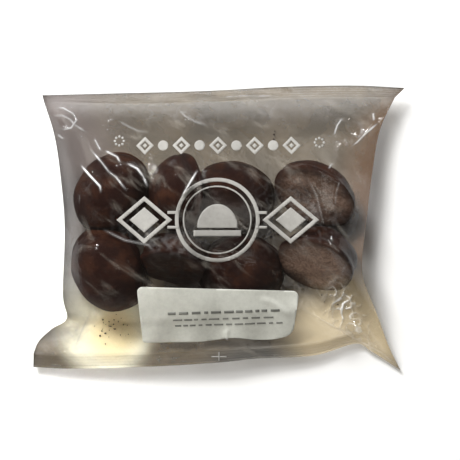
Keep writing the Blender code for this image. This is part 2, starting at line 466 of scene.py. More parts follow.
def add_bump(tree, height, depth, strength=1.0, **below):
    """Relief of this depth in millimetres, on top of the Normal below it, if there is one."""
    inputs = {"Height": height, "Distance": depth * MM, "Strength": strength, **below}
    return add_node(tree, "ShaderNodeBump", inputs).outputs["Normal"]


def new_material(name):
    """A material with no nodes yet, and its tree."""
    material = bpy.data.materials.new(name)
    material.use_nodes = True
    material.node_tree.nodes.clear()
    return material, material.node_tree


def add_shader(tree, inputs):
    """The shader, joined to the material's output."""
    shader = add_node(tree, "ShaderNodeBsdfPrincipled", inputs).outputs["BSDF"]
    add_node(tree, "ShaderNodeOutputMaterial", {"Surface": shader})


def new_piece(name, mesh, material):
    """Makes an object of a finished bmesh and lets it ride on the frame."""
    data = bpy.data.meshes.new(name)
    mesh.to_mesh(data)
    mesh.free()
    data.materials.append(material)
    data.shade_smooth()
    piece = bpy.data.objects.new(name, data)
    bpy.context.scene.collection.objects.link(piece)
    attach(piece, "root")
    return piece


def surface_of(pieces):
    """A search tree over the surfaces of some pieces."""
    together = bmesh.new()
    for piece in pieces:
        together.from_mesh(piece.data)
    tree = BVHTree.FromBMesh(together)
    together.free()
    return tree


def first_height(tree, x, y, from_height, towards, missing):
    """The height of the first surface that a vertical line meets at each place."""
    found = np.full(x.shape, float(missing))
    for place in np.ndindex(x.shape):
        hit = tree.ray_cast(Vector((x[place], y[place], from_height)), towards)[0]
        if hit is not None:
            found[place] = hit.z
    return found


def smooth_path(points, shares):
    """Points on a smooth curve through the given ones, at these shares of its length."""
    given = np.array(points, float) * MM
    padded = np.vstack([2 * given[0] - given[1], given, 2 * given[-1] - given[-2]])
    t = np.linspace(0, 1, 24, endpoint=False)[:, None]
    spans = []
    for before, start, end, after in zip(padded, padded[1:], padded[2:], padded[3:]):
        bend = 2 * before - 5 * start + 4 * end - after
        twist = 3 * start - before - 3 * end + after
        spans.append(start + 0.5 * (t * (end - before) + t**2 * bend + t**3 * twist))
    dense = np.vstack([*spans, given[-1:]])
    steps = np.linalg.norm(np.diff(dense, axis=0), axis=1)
    reach = np.concatenate([[0], np.cumsum(steps)]) / steps.sum()
    return np.stack([np.interp(shares, reach, axis) for axis in dense.T], axis=-1)


# The marshmallows


def mallow_mesh(settings, row, seed):
    """One coated marshmallow, turned on its half section, uneven, and tilted about its base."""
    _, _, tilt, towards, turn, scale, stretch, stretch_way, wear = row
    shares = np.linspace(0, 1, settings.rings + 1)
    section = smooth_path(MALLOW_SECTION, shares)
    section[[0, -1], 0] = 0
    mesh = bmesh.new()
    share = mesh.verts.layers.float.new("section_share")
    worn = mesh.verts.layers.float.new("base_wear")
    points = [mesh.verts.new((radius, 0, height)) for radius, height in section]
    edges = [mesh.edges.new(pair) for pair in zip(points, points[1:])]
    for point, value in zip(points, shares):
        point[share] = value
    bmesh.ops.spin(
        mesh,
        geom=points + edges,
        cent=(0, 0, 0),
        axis=UP,
        angle=math.tau,
        steps=settings.steps,
        use_merge=True,
    )
    bmesh.ops.remove_doubles(mesh, verts=mesh.verts, dist=0.01 * MM)
    bmesh.ops.recalc_face_normals(mesh, faces=mesh.faces)
    mesh.normal_update()
    offset = Vector(NOISE_STEP) * seed
    for vert in mesh.verts:
        vert[worn] = wear
        lump = noise.noise(vert.co / LUMP_SIZE + offset)
        pit = noise.noise(vert.co / PITTING_SIZE + offset)
        if vert.normal.z <= FACES_DOWN:
            pit *= UNDERSIDE_PITTING
        vert.co += vert.normal * (settings.lump_depth * lump + settings.pitting_depth * pit)
    way = math.radians(towards)
    lean = Matrix.Rotation(math.radians(tilt), 4, Vector((-math.sin(way), math.cos(way), 0)))
    twist = Matrix.Rotation(math.radians(turn), 4, "Z")
    aside = Matrix.Rotation(math.radians(stretch_way), 4, "Z")
    pressed = aside @ Matrix.Diagonal((stretch, 1 / stretch, 1, 1)) @ aside.inverted()
    mesh.transform(pressed @ lean @ twist @ Matrix.Scale(scale, 4))
    return mesh


def press_together(first, second):
    """Flattens two marshmallows against the plane halfway into where they would overlap."""
    middles = []
    for mesh in (first, second):
        middles.append(sum((vert.co for vert in mesh.verts), Vector()) / len(mesh.verts))
    way = (middles[1] - middles[0]).normalized()
    reach = max(vert.co.dot(way) for vert in first.verts)
    start = min(vert.co.dot(way) for vert in second.verts)
    if reach + CONTACT_GAP <= start:
        return
    for mesh, sign in ((first, 1), (second, -1)):
        for vert in mesh.verts:
            beyond = sign * (vert.co.dot(way) - (reach + start) / 2) + CONTACT_GAP / 2
            if beyond > 0:
                vert.co -= way * (sign * beyond)


def chocolate_material(settings):
    """Dark compound chocolate, enrobed and set: brown and half matt, with a waxy bloom in broad
    clouds, fine rippling, and a paler, scuffed base where the coat was rubbed thin."""
    material, tree = new_material("dark_chocolate_enrobed")
    place = add_place(tree)
    # Clouds of bloom about 12 mm across.
    bloom = add_range(tree, add_noise(tree, place, 12, 4.0, 0.6), 0.42, 0.72, 0.0, 0.9)
    # Streaks about 3 mm wide, in which the base is scuffed, as far as it is worn.
    streaks = add_noise(tree, place, 3.2, 6.0, 0.7, 1.6)
    rubbed = add_range(tree, streaks, 0.3, 0.62, 0.25, 1.0, "LINEAR")
    base = add_range(tree, add_mark(tree, "section_share"), *BASE_END, 1.0, 0.0)
    for factor in (base, add_mark(tree, "base_wear")):
        rubbed = add_math(tree, "MULTIPLY", rubbed, factor)
    bloomed = add_mix(tree, bloom, settings.coat_colour, settings.bloom_colour)
    ripples = add_noise(tree, place, 1.6, 3.0)
    inputs = {
        "Base Color": add_mix(tree, rubbed, bloomed, settings.scuff_colour),
        "Roughness": add_range(tree, bloom, 0.0, 0.9, 0.58, 0.74, "LINEAR"),
        "IOR": 1.38,
        "Normal": add_bump(tree, ripples, 0.35, 0.7),
    }
    add_shader(tree, inputs)
    return material


# The film


def seam_surface(across, along):
    """The sheet midway between the bag's two films: rows of points, stretched over its outline."""
    left = smooth_path(LEFT_SIDE, along)[:, None]
    right = smooth_path(RIGHT_SIDE, along)[:, None]
    low = smooth_path(BOTTOM_SEAL_LINE, across)[None]
    high = smooth_path(TOP_SEAL_LINE, across)[None]
    u, v = across[None, :, None], along[:, None, None]
    corners = (1 - v) * ((1 - u) * left[0] + u * right[0]) + v * (
        (1 - u) * left[-1] + u * right[-1]
    )
    return (1 - u) * left + u * right + (1 - v) * low + v * high - corners


def floor_share(across, along):
    """How far the lower film is down, from 0 at the outline to 1 on the flat underside."""
    from_side = np.clip(np.minimum(across, 1 - across) / FLOOR_FROM_SIDE, 0, 1)
    from_seal = np.clip(np.minimum(along, 1 - along) / FLOOR_FROM_SEAL, 0, 1)
    return np.sin(from_seal * math.pi / 2)[:, None] * np.sin(from_side * math.pi / 2)[None]


def settle(film, lowest, highest, rounds, lift):
    """Lets a sheet of heights, held at its outline, go taut between the limits on both sides."""
    inner = (slice(1, -1), slice(1, -1))
    for _ in range(rounds):
        level = film[:-2, 1:-1] + film[2:, 1:-1] + film[1:-1, :-2] + film[1:-1, 2:]
        film[inner] = np.clip(level / 4 + lift, lowest[inner], highest[inner])
    return film


def resampled(field, across_from, along_from, across, along):
    """A grid of heights read at other shares across and along."""
    rows = np.array([np.interp(across, across_from, row) for row in field])
    return np.array([np.interp(along, along_from, column) for column in rows.T]).T


def dents(x, y, depth):
    """Soft uneven dents in the film, seeded by their place."""
    found = np.zeros_like(x)
    for place in np.ndindex(x.shape):
        found[place] = noise.noise((x[place] / DENT_SIZE + RANDOM_SEED, y[place] / DENT_SIZE, 0.0))
    return depth * found


def from_line(x, y, start, end):
    """Each place's distance from a straight line, and the share of its length that is nearest."""
    run = end - start
    share = ((x - start[0]) * run[0] + (y - start[1]) * run[1]) / (run @ run)
    share = np.clip(share, 0, 1)
    return np.hypot(x - start[0] - share * run[0], y - start[1] - share * run[1]), share


def folds(x, y):
    """The height that the folds add: a rounded ridge each, fading out towards both ends."""
    rise = np.zeros_like(x)
    for *ends, height, width in np.array(FOLDS) * MM:
        away, share = from_line(x, y, np.array(ends[:2]), np.array(ends[2:]))
        fade = np.sin(math.pi * np.clip(share, 0.1, 0.9))
        rise += height * fade * np.exp(-((away / width) ** 2))
    return rise


def creases(x, y, painted_glint_width):
    """The height that the sharp creases add, a narrow ridge each that fades out at both ends, and
    the painted glint, white painted along their crests, from 0 to 1."""
    rise = np.zeros_like(x)
    white = np.zeros_like(x)
    for height, width, painted_glint_strength, *points in CREASES:
        path = np.reshape(points, (-1, 2)) * MM
        steps = np.linalg.norm(np.diff(path, axis=0), axis=1)
        reach = np.concatenate([[0], np.cumsum(steps)]) / steps.sum()
        nearest = np.full(x.shape, np.inf)
        along_path = np.zeros_like(x)
        for start, end, start_share, end_share in zip(path, path[1:], reach, reach[1:]):
            away, share = from_line(x, y, start, end)
            closer = away < nearest
            nearest = np.where(closer, away, nearest)
            share = start_share + share * (end_share - start_share)
            along_path = np.where(closer, share, along_path)
        fade = np.clip(np.minimum(along_path, 1 - along_path) / CREASE_FADE, 0, 1)
        ridge = (1 + np.cos(math.pi * np.clip(nearest / (width * MM), 0, 1))) / 2
        rise += height * MM * fade * ridge
        white = np.maximum(white, painted_glint_strength * fade * np.clip(1 - nearest / painted_glint_width, 0, 1))
    return rise, white


def crumples(x, y):
    """The height that the crumpled patches add, a net of small sharp ridges in each, and the
    painted glint, white painted along them, from 0 to 1."""
    net = np.zeros_like(x)
    for place in np.ndindex(x.shape):
        spot = Vector((x[place], y[place], 0)) / CRUMPLE_SIZE
        net[place] = 1 - 2.5 * abs(noise.noise(spot)) - 0.9 * abs(noise.noise(spot * 2.3))
    rise = np.zeros_like(x)
    white = np.zeros_like(x)
    for centre_x, centre_y, reach_along, reach_across, way, depth, painted_glint_strength in CRUMPLES:
        angle = math.radians(way)
        away_x, away_y = x - centre_x * MM, y - centre_y * MM
        along = (away_x * math.cos(angle) + away_y * math.sin(angle)) / (reach_along * MM)
        across = (away_y * math.cos(angle) - away_x * math.sin(angle)) / (reach_across * MM)
        patch = np.exp(-(along**2) - across**2)
        rise += depth * MM * net * patch
        white = np.maximum(white, painted_glint_strength * patch * np.clip((net - 0.3) / 0.5, 0, 1))
    return rise, white


def gathers(across, along):
    """Pleats that leave both seals and fade into the body."""
    uneven = 1.5 * np.sin(5 * across)
    wave = np.cos(math.tau * GATHER_COUNT * across + uneven)
    near_seal = np.exp(-along / GATHER_REACH[0]) + np.exp(-(1 - along) / GATHER_REACH[1])
    return GATHER_DEPTH * near_seal[:, None] * wave[None]


def seal_rows(line, edge, count):
    """Rows of points across a seal, from its line to its outer edge, without the line."""
    shares = np.linspace(0, 1, count + 1)[1:, None, None]
    return line + (edge - line) * shares


def upper_heights(settings, seam, across, along, tree):
    """The upper film's height: taut over the marshmallows, with its dents, folds and creases."""
    top = cad_box[1].z
    coarse_across = np.linspace(0, 1, COARSE_COLUMNS + 1)
    coarse_along = np.linspace(0, 1, COARSE_ROWS + 1)
    coarse = seam_surface(coarse_across, coarse_along)
    backs = first_height(tree, coarse[..., 0], coarse[..., 1], 2 * top, -UP, 0) + settings.clearance
    film = np.maximum(coarse[..., 2], backs)
    film = settle(film, backs, np.full(backs.shape, top), COARSE_ROUNDS, AIR_LIFT)
    film = resampled(film, coarse_across, coarse_along, across, along)
    x, y, seam_height = np.moveaxis(seam, -1, 0)
    backs = first_height(tree, x, y, 2 * top, -UP, 0) + settings.clearance
    film[[0, -1]] = seam_height[[0, -1]]
    film[:, [0, -1]] = seam_height[:, [0, -1]]
    film = settle(film, backs, np.full(backs.shape, top), FINE_ROUNDS, 0)
    inward = (1 - np.abs(2 * across - 1) ** 6)[None]
    near_seal = np.clip(np.minimum(along, 1 - along) / SMOOTH_AT_SEAL, 0, 1)[:, None]
    broad = dents(x, y, settings.dent_depth) + folds(x, y) + gathers(across, along)
    sharp = creases(x, y, settings.painted_glint_width)[0] + crumples(x, y)[0]
    film += (broad + settings.crease_scale * sharp) * inward * near_seal
    film[1:-1, 1:-1] = np.maximum(film, backs)[1:-1, 1:-1]
    return film


def lower_heights(settings, seam, across, along, tree):
    """The lower film's height: flat on the floor, and drawn up to the outline round the load."""
    x, y, seam_height = np.moveaxis(seam, -1, 0)
    film = seam_height - SEAL_THICKNESS / 2
    film *= 1 - floor_share(across, along)
    underside = first_height(tree, x, y, -cad_box[1].z, UP, 1) - settings.clearance
    underside = np.maximum(underside, 0)
    return settle(np.minimum(film, underside), np.zeros_like(film), underside, UNDERSIDE_ROUNDS, 0)


def film_sheet(settings, tree, is_upper, share):
    """One film as rows of points, from the bottom edge to the top edge, and its rows in a seal."""
    across = np.linspace(0, 1, round(settings.columns * share) + 1)
    along = np.linspace(0, 1, round(settings.body_rows * share) + 1)
    in_seal = round(settings.seal_rows * share)
    body = seam_surface(across, along)
    bottom = seal_rows(body[0], smooth_path(BOTTOM_EDGE, across), in_seal)[::-1]
    top = seal_rows(body[-1], smooth_path(TOP_EDGE, across), in_seal)
    half = UP * (SEAL_THICKNESS / 2)
    if is_upper:
        body[..., 2] = upper_heights(settings, body, across, along, tree) + half.z
        return np.concatenate([bottom + half, body, top + half]), in_seal
    body[..., 2] = lower_heights(settings, body, across, along, tree)
    return np.concatenate([bottom - half, body, top - half]), in_seal


def add_sheet(mesh, points, faces_up):
    """A grid of faces through rows of points."""
    rows, columns = points.shape[:2]
    made = bmesh.ops.create_grid(mesh, x_segments=columns - 1, y_segments=rows - 1, size=1)
    verts = sorted(made["verts"], key=lambda v: (round(v.co.y, 6), round(v.co.x, 6)))
    for vert, place in zip(verts, points.reshape(-1, 3)):
        vert.co = place
    if not faces_up:
        faces = {face for vert in verts for face in vert.link_faces}
        bmesh.ops.reverse_faces(mesh, faces=list(faces))
    return verts


def sheet_marks(points, in_seal):
    """For each point of a sheet, how far it lies into a seal and how near the folded sides."""
    rows, columns = points.shape[:2]
    row = np.arange(rows)
    outer = np.maximum(in_seal - row, row - (rows - 1 - in_seal))
    seal = np.clip(outer / in_seal, 0, 1)[:, None] * np.ones((1, columns))
    column = np.arange(columns)
    width = np.linalg.norm(points[:, -1] - points[:, 0], axis=-1)[:, None]
    from_side = np.minimum(column, columns - 1 - column)[None] / (columns - 1) * width
    side = np.exp(-from_side / SIDE_REACH)
    return seal, side


def film_mesh(settings, tree):
    """The bag's closed film, with its points marked: seals, sides, crests and underside."""
    upper, upper_seal = film_sheet(settings, tree, True, 1.0)
    lower, lower_seal = film_sheet(settings, tree, False, UNDERSIDE_SHARE)
    low = np.minimum(upper.min((0, 1)), lower.min((0, 1)))
    high = np.maximum(upper.max((0, 1)), lower.max((0, 1)))
    middle = (low + high) / 2
    frame_middle = (cad_box[0] + cad_box[1]) / 2
    shift = np.array([middle[0] - frame_middle.x, middle[1] - frame_middle.y, 0])
    mesh = bmesh.new()
    marks = [mesh.verts.layers.float.new(name) for name in FILM_MARKS]
    for sheet, in_seal, is_upper in ((upper, upper_seal, True), (lower, lower_seal, False)):
        verts = add_sheet(mesh, sheet - shift, is_upper)
        seal, side = sheet_marks(sheet, in_seal)
        x, y, _ = np.moveaxis(sheet, -1, 0)
        # White painted along the upper film's creases and crumples: a painted glint.
        crest = np.maximum(creases(x, y, settings.painted_glint_width)[1], crumples(x, y)[1]) * is_upper
        for vert, *values in zip(verts, seal.ravel(), side.ravel(), crest.ravel()):
            for mark, value in zip(marks, (*values, 0.0 if is_upper else 1.0)):
                vert[mark] = value
    rim = [edge for edge in mesh.edges if edge.is_boundary]
    bmesh.ops.bridge_loops(mesh, edges=rim)
    bmesh.ops.recalc_face_normals(mesh, faces=mesh.faces)
    return mesh


def film_material(settings):
    """Polypropylene film, cast thin and heat sealed: clear and glossy with a smoky, blotchy cast,
    denser where it is fused or folded, finely wrinkled, with crimp lines along both seals. Glints
    are painted white along its creases, and pools of light are painted at its lower corners."""
    material, tree = new_material("polypropylene_film_cast")
    place = add_place(tree)
    seal, side, crest, under = (add_mark(tree, name) for name in FILM_MARKS)
    # Blotches in the cast, about 24 mm across, streaks along the seals, 3 mm by 30 mm, and veils
    # where the upper film has gone dull, 8 mm by 32 mm.
    patterns = []
    for size, stretch, turn, detail in ((24, 1, 0, 5.0), (3, 10, 0, 4.0), (8, 4, -38, 5.0)):
        inputs = {"Vector": place, "Scale": (stretch, 1, 1), "Rotation": (0, 0, math.radians(turn))}
        stretched = add_node(tree, "ShaderNodeMapping", inputs, vector_type="TEXTURE")
        patterns.append(add_noise(tree, stretched.outputs["Vector"], size, detail, 0.6, 0.4))
    blotches, streaks, veils = patterns
    # The lower film carries most of the cast.
    shade = add_range(tree, blotches, 0.35, 0.65)
    lower = add_mix(tree, shade, settings.dark_colour, settings.light_colour)
    spots = []
    for x, y, start, full, most, tint in CAST_SPOTS:
        inputs = {0: place, 1: (x * MM, y * MM, CAST_HEIGHT)}
        away = add_node(tree, "ShaderNodeVectorMath", inputs, operation="DISTANCE").outputs["Value"]
        spot = add_range(tree, away, start * MM, full * MM, 0.0, most)
        lower = add_mix(tree, spot, lower, getattr(settings, tint))
        spots.append(spot)
    # The pale lower right and the cream corner are painted pools of light.
    cool_side, _, painted_light_lower_right, painted_light_corner, *_ = spots
    # The upper film stays dark between its veils, so that it doesn't hide what lies under it.
    clear_left = add_math(tree, "SUBTRACT", 1.0, cool_side)
    veil = add_math(tree, "MULTIPLY", add_range(tree, veils, 0.5, 0.75), clear_left)
    upper = add_mix(tree, veil, settings.smoke_colour, settings.veil_colour)
    # Painted light on the upper film at the lower right as well.
    upper = add_mix(tree, painted_light_lower_right, upper, settings.painted_pale_light)
    # Painted glints: white painted along the crests, here and there more than elsewhere.
    uneven = add_range(tree, blotches, 0.35, 0.6, 0.45, 1.3, "LINEAR")
    white = add_math(tree, "MULTIPLY", crest, uneven)
    colour = add_mix(tree, white, add_mix(tree, under, upper, lower), settings.painted_glint_colour)
    # In the cream corner, with its painted pool of light, the upper film is clearer and the lower
    # one denser.
    upper_share, lower_share = (
        add_range(tree, painted_light_corner, 0.0, 1.0, usual, in_corner, "LINEAR")
        for usual, in_corner in zip((settings.opacity, settings.under_opacity), CORNER_OPACITIES)
    )
    inputs = {0: under, 2: upper_share, 3: lower_share}
    opacity = add_node(tree, "ShaderNodeMix", inputs, data_type="FLOAT").outputs[0]
    fused = add_range(tree, seal, 0.0, 0.1, kind="LINEAR")
    streaky = add_range(tree, streaks, 0.3, 0.7, -0.06, 0.1, "LINEAR")
    streaky = add_math(tree, "MULTIPLY", streaky, fused)
    # The painted glints make the film more opaque too.
    for mark, amount in ((streaky, 1.0), (side, 0.2), (veil, 0.09), (fused, 0.06), (white, 0.7)):
        opacity = add_math(tree, "MULTIPLY_ADD", mark, amount, opacity)
    crimps = add_math(tree, "SINE", add_math(tree, "MULTIPLY", seal, CRIMP_COUNT * math.tau))
    wrinkled = add_bump(tree, add_noise(tree, place, 6, 4.0, distortion=1.2), 0.3)
    inputs = {
        "Base Color": colour,
        "Roughness": settings.roughness,
        "IOR": settings.ior,
        "Alpha": opacity,
        "Normal": add_bump(tree, crimps, 0.04, Normal=wrinkled),
    }
    add_shader(tree, inputs)
    return material


# The print


def placed(x, y, half_x, half_y, turn=0.0):
    """The transform that puts a unit shape at x and y, in millimetres, with these half sizes."""
    move = Matrix.Translation((x * MM, y * MM, 0))
    size = Matrix.Diagonal((half_x * MM, half_y * MM, 1, 1))
    return move @ Matrix.Rotation(math.radians(turn), 4, "Z") @ size


def add_disc(mesh, x, y, half_x, half_y, sides=40):
    """A filled ellipse or regular shape. Returns its face."""
    matrix = placed(x, y, half_x, half_y)
    made = bmesh.ops.create_circle(mesh, cap_ends=True, segments=sides, radius=1, matrix=matrix)
    return made["verts"][0].link_faces[0]


def add_frame(mesh, x, y, half_x, half_y, line, sides):
    """The outline of an ellipse or regular shape, as wide as the line."""
    face = add_disc(mesh, x, y, half_x, half_y, sides)
    bmesh.ops.inset_region(
        mesh, faces=[face], thickness=line * MM, use_boundary=True, use_even_offset=True
    )
    bmesh.ops.delete(mesh, geom=[face], context="FACES")


def add_bar(mesh, x, y, half_x, half_y, turn=0.0):
    """A filled bar."""
    matrix = placed(x, y, half_x, half_y, turn)
    bmesh.ops.create_grid(mesh, x_segments=1, y_segments=1, size=1, matrix=matrix)


def add_dome(mesh, x, y, half_x, half_y):
    """The upper half of a filled ellipse."""
    face = add_disc(mesh, x, y, half_x, half_y)
    geometry = [face, *face.edges, *face.verts]
    bmesh.ops.bisect_plane(
        mesh, geom=geometry, plane_co=(0, y * MM, 0), plane_no=(0, 1, 0), clear_inner=True
    )


def ornament_row():
    """Lozenges and discs in turn, between two rosettes of eight dots."""
    mesh = bmesh.new()
    for index, x in enumerate(np.linspace(-ROW_HALF_LENGTH, ROW_HALF_LENGTH, ROW_COUNT)):
        if index % 2:
            add_disc(mesh, x, ROW_Y, DISC_RADIUS, DISC_RADIUS)
            continue
        add_frame(mesh, x, ROW_Y, *LOZENGE, 4)
        add_disc(mesh, x, ROW_Y, LOZENGE_MIDDLE, LOZENGE_MIDDLE, 4)
    for x, y in ROSETTES:
        for angle in np.arange(DOT_COUNT) * math.tau / DOT_COUNT:
            dot_x = x + ROSETTE_RADIUS * math.cos(angle)
            dot_y = y + ROSETTE_RADIUS * math.sin(angle)
            add_disc(mesh, dot_x, dot_y, DOT_RADIUS, DOT_RADIUS, 12)
    return mesh


def medallions():
    """A ring round a domed sweet on its bar, with a lozenge linked to it on each side."""
    mesh = bmesh.new()
    x, y = MEDALLION_X, MEDALLION_Y
    add_frame(mesh, x, y, *RING)
    add_frame(mesh, x, y, *INNER_RING)
    add_dome(mesh, x, y - DOME_DROP, *DOME)
    add_bar(mesh, x, y - BAR_DROP, *BAR)
    for side in (-1, 1):
        add_frame(mesh, x + side * SIDE_DISTANCE, y, *SIDE_LOZENGE)
        add_disc(mesh, x + side * SIDE_DISTANCE, y, *SIDE_MIDDLE)
        for rise in (LINK_RISE, -LINK_RISE):
            add_bar(mesh, x + side * LINK_DISTANCE, y + rise, *LINK)
    return mesh


def rounded_field(corners):
    """A filled field with rounded corners, each given as x, y and radius in millimetres."""
    mesh = bmesh.new()
    verts = [mesh.verts.new((x * MM, y * MM, 0)) for x, y, _ in corners]
    mesh.faces.new(verts)
    for vert, (_, _, radius) in zip(verts, corners):
        bmesh.ops.bevel(
            mesh,
            geom=[vert],
            offset=radius * MM,
            affect="VERTICES",
            segments=8,
            profile=0.5,
            material=-1,
        )
    return mesh


def label_dashes():
    """Rows of short dashes of uneven length, in place of the label's small print."""
    draw = random.Random(RANDOM_SEED)
    mesh = bmesh.new()
    for start, end, y, height in LABEL_DASHES:
        x = start
        while x < end:
            length = draw.uniform(*DASH_LENGTHS)
            rise = DASH_SLOPE * x
            add_bar(mesh, x + length / 2, y + rise, length / 2, height / 2, DASH_TURN)
            x += length + draw.uniform(*DASH_GAPS)
    return mesh


def seal_cross():
    """The registration cross on the bottom seal."""
    mesh = bmesh.new()
    x, y, reach_x, reach_y = CROSS
    add_bar(mesh, x, y, reach_x, CROSS_LINE)
    add_bar(mesh, x, y, CROSS_LINE, reach_y)
    return mesh


def laid_on(mesh, tree, step, lift, thickness):
    """Cuts a flat shape into small squares, lays it on the film and gives it its thickness."""
    for axis in range(2):
        along = [vert.co[axis] for vert in mesh.verts]
        normal = Vector((axis == 0, axis == 1, 0))
        for cut in np.arange(min(along) + step, max(along), step):
            geometry = [*mesh.verts, *mesh.edges, *mesh.faces]
            bmesh.ops.bisect_plane(
                mesh, geom=geometry, dist=1e-7, plane_co=normal * cut, plane_no=normal
            )
    bmesh.ops.triangulate(mesh, faces=mesh.faces)
    for vert in mesh.verts:
        start = Vector((vert.co.x, vert.co.y, 2 * cad_box[1].z))
        vert.co.z = tree.ray_cast(start, -UP)[0].z + lift
    mesh.normal_update()
    bmesh.ops.solidify(mesh, geom=mesh.faces, thickness=thickness)
    bmesh.ops.recalc_face_normals(mesh, faces=mesh.faces)
    return mesh


def ink_material(name, colour, opacity):
    """Flexographic ink, printed and dried on film: flat, and a little thin in places about 4 mm
    across, so that what is under it shows through faintly."""
    material, tree = new_material(name)
    thin = add_noise(tree, add_place(tree), 4, 5.0, 0.7)
    density = add_range(tree, thin, 0.25, 0.6, opacity * 0.82, opacity, "LINEAR")
    add_shader(tree, {"Base Color": (*colour, 1), "Roughness": 0.5, "IOR": 1.45, "Alpha": density})
    return material


# The crumbs


def crumb_mesh(tree, size):
    """Broken bits of the coat, scattered on the lower film."""
    draw = random.Random(RANDOM_SEED)
    mesh = bmesh.new()
    for centre_x, centre_y, reach, count in CRUMB_SCATTERS:
        for _ in range(count):
            x = (centre_x + draw.gauss(0, reach / 2)) * MM
            y = (centre_y + draw.gauss(0, reach / 2)) * MM
            radius = size * draw.uniform(*CRUMB_SIZES)
            floor = tree.ray_cast(Vector((x, y, -cad_box[1].z)), UP)[0]
            if floor is None:
                continue
            move = Matrix.Translation((x, y, floor.z + radius + 0.1 * MM))
            turn = Matrix.Rotation(draw.uniform(0, math.tau), 4, "Z")
            length = draw.uniform(*CRUMB_LENGTHS)
            width = draw.uniform(*CRUMB_WIDTHS)
            stretch = Matrix.Diagonal((length, width, CRUMB_THICKNESS, 1))
            made = bmesh.ops.create_icosphere(
                mesh, subdivisions=1, radius=radius, matrix=move @ turn @ stretch
            )
            for vert in made["verts"]:
                jolt = Vector([draw.uniform(-1, 1) for _ in range(3)])
                vert.co += jolt * radius * CRUMB_JOLT
    return mesh


# The studio


def floor_material(settings):
    """Seamless backdrop paper, matt and pale, with a barely visible fibre."""
    material, tree = new_material("backdrop_paper_matt")
    fibre = add_noise(tree, add_place(tree), 2, 3.0)
    darker = tuple(0.985 * part for part in settings.floor_colour)
    shade = add_mix(tree, fibre, darker, settings.floor_colour)
    add_shader(tree, {"Base Color": shade, "Roughness": 0.9, "IOR": 1.3})
    return material


def add_panel_light(name, place, size, radiance, colour, kind, aim=(0, 0, 0), spread=180):
    """A square soft light with its surface's brightness. A matt one lights matt surfaces only, and
    a gloss one only shows in gloss. Its beam is this many degrees wide."""
    light = bpy.data.lights.new(name, "AREA")
    light.shape = "SQUARE"
    light.size = size
    light.color = colour
    light.energy = radiance * math.pi * size**2
    light.spread = math.radians(spread)
    lamp = bpy.data.objects.new(name, light)
    lamp.location = place
    way = Vector(aim) - Vector(place)
    lamp.rotation_euler = way.to_track_quat("-Z", "Y").to_euler()
    lamp.visible_diffuse = kind == "matt"
    lamp.visible_glossy = kind == "gloss"
    bpy.context.scene.collection.objects.link(lamp)


# Settings


def colour_setting(name, description, code):
    """A colour for the panel, from its sRGB hex code."""
    value = linear(code)
    return FloatVectorProperty(name=name, description=description, subtype="COLOR", default=value)


def length_setting(name, description, millimetres):
    """A length for the panel."""
    value = millimetres * MM
    return FloatProperty(name=name, description=description, default=value, unit="LENGTH")


def number_setting(name, description, value):
    """A plain number for the panel."""
    return FloatProperty(name=name, description=description, default=value)


def count_setting(name, description, value, least, most=1000):
    """A count for the panel."""
    return IntProperty(name=name, description=description, default=value, min=least, max=most)


class MallowSettings(PropertyGroup):
    """Sizes and colours of the marshmallows."""

    rings: count_setting("Rings", "Rings along the half section", 56, 16)
    steps: count_setting("Steps", "Steps round each marshmallow", 84, 24)
    lump_depth: length_setting("Lumps", "Depth of the broad unevenness", 1.2)
    pitting_depth: length_setting("Pitting", "Depth of the small unevenness", 0.12)
    coat_colour: colour_setting("Coat", "The chocolate", "#25110c")
    bloom_colour: colour_setting("Bloom", "Waxy clouds on it", "#43281b")
    scuff_colour: colour_setting("Scuffs", "The rubbed base", "#a88c7b")


class FilmSettings(PropertyGroup):
    """Sizes and colours of the film."""

    columns: count_setting("Columns", "Mesh columns", 330, 54, 334)
    body_rows: count_setting("Body rows", "Rows between the seals", 212, 38)
    seal_rows: count_setting("Seal rows", "Rows across each seal", 10, 2)
    clearance: length_setting("Clearance", "Gap to the marshmallows", 0.5)
    dent_depth: length_setting("Dents", "Depth of the soft dents", 1.3)
    crease_scale: number_setting("Creases", "Strength of the sharp creases", 1.0)
    # Painted glints: white lines painted along the crests, their half width and colour.
    painted_glint_width: length_setting("Crests", "Half width of a white crest", 0.9)
    painted_glint_colour: colour_setting("Crest colour", "White crests", "#ffffff")
    smoke_colour: colour_setting("Smoke", "The upper film", "#1c1714")
    veil_colour: colour_setting("Veils", "Its dull streaks", "#9a948a")
    dark_colour: colour_setting("Dark cast", "Dark blotches", "#7e7058")
    light_colour: colour_setting("Light cast", "Light blotches", "#9c8b71")
    cool_colour: colour_setting("Cool side", "The left side", "#988883")
    umber_colour: colour_setting("Umber side", "The right side", "#8c6a4f")
    # Painted light: pools of pale, cream and yellow light painted at the lower corners.
    painted_pale_light: colour_setting("Pale side", "Lower right", "#ead8b2")
    painted_cream_light: colour_setting("Cream corner", "Lower left", "#fffae0")
    painted_yellow_light: colour_setting("Yellow spot", "In the corner", "#ffe297")
    grey_colour: colour_setting("Grey foot", "Bottom middle", "#7c7b78")
    opacity: number_setting("Opacity", "What the upper film holds back", 0.25)
    under_opacity: number_setting("Under opacity", "What the lower film holds back", 0.67)
    roughness: number_setting("Roughness", "Of the film's gloss", 0.11)
    ior: number_setting("IOR", "Refractive index for its gloss", 1.9)


class InkSettings(PropertyGroup):
    """The print's colours and sizes."""

    ink_colour: colour_setting("Ink", "White ink", "#a3a19c")
    label_colour: colour_setting("Label", "The label field", "#d2d3ca")
    dash_colour: colour_setting("Dashes", "Marks on the label", "#7a7b75")
    lift: length_setting("Lift", "Height above the film", 0.2)
    thickness: length_setting("Thickness", "Of the ink", 0.05)


class CrumbSettings(PropertyGroup):
    """The crumbs' size."""

    size: length_setting("Size", "Radius of the largest crumb", 0.6)


